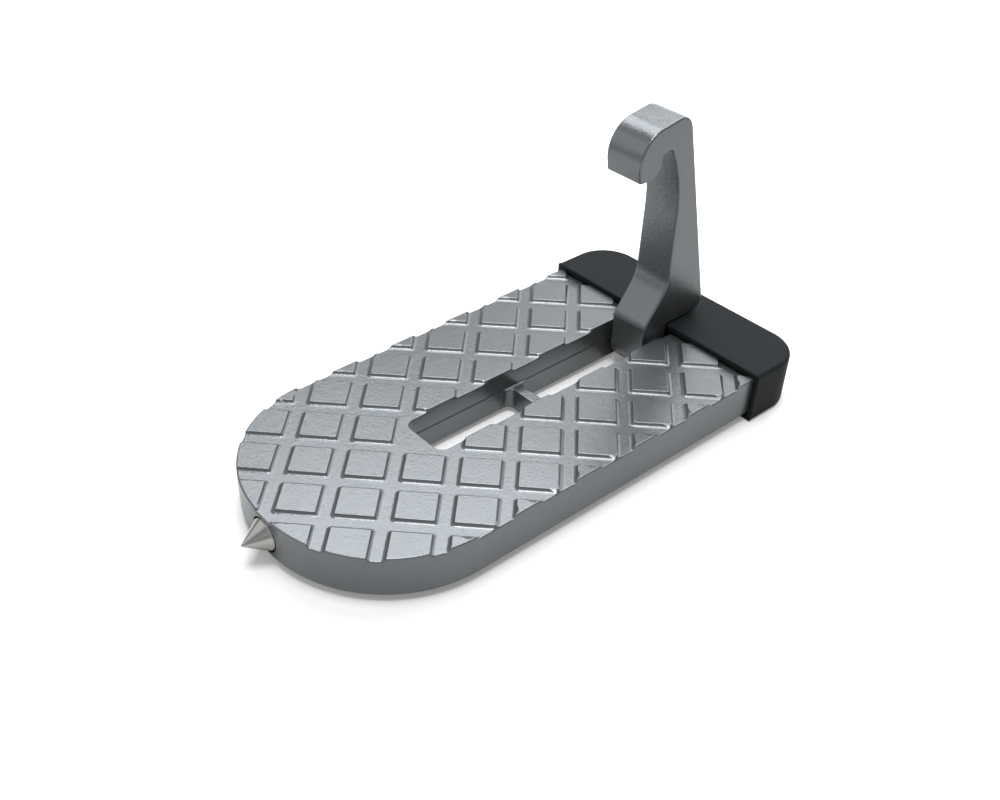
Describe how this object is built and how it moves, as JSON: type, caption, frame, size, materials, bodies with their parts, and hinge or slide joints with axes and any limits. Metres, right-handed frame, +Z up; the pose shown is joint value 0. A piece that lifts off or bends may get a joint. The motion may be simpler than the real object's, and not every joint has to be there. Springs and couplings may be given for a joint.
{
  "type": "folding car door step",
  "caption": "Rounded tread plate with raised square pads, a folding hook that goes over a door striker, a steel cone at the front and a rubber cap at the back.",
  "frame": {"origin": "under the middle of the whole step's box, on the surface it stands on", "axes": "+Y from the rounded front with the cone to the capped back, +X across the plate, +Z up along the raised hook"},
  "size_m": [0.076, 0.156, 0.077],
  "materials": {
    "casting": "silver-grey satin coating on a die casting",
    "steel": "turned and polished",
    "rubber": "matte black"
  },
  "bodies": {
    "base": {"step_plate": "casting", "end_cap": "rubber", "hinge_pin": "steel", "hammer_tip": "steel"},
    "hook": {"hook": "casting"}
  },
  "joints": [
    {"name": "hook_fold", "type": "hinge", "parent": "base", "child": "hook", "pos_m": [0, 0.0535, 0.0075], "axis": [1, 0, 0], "range_deg": [0, 91.5]}
  ]
}
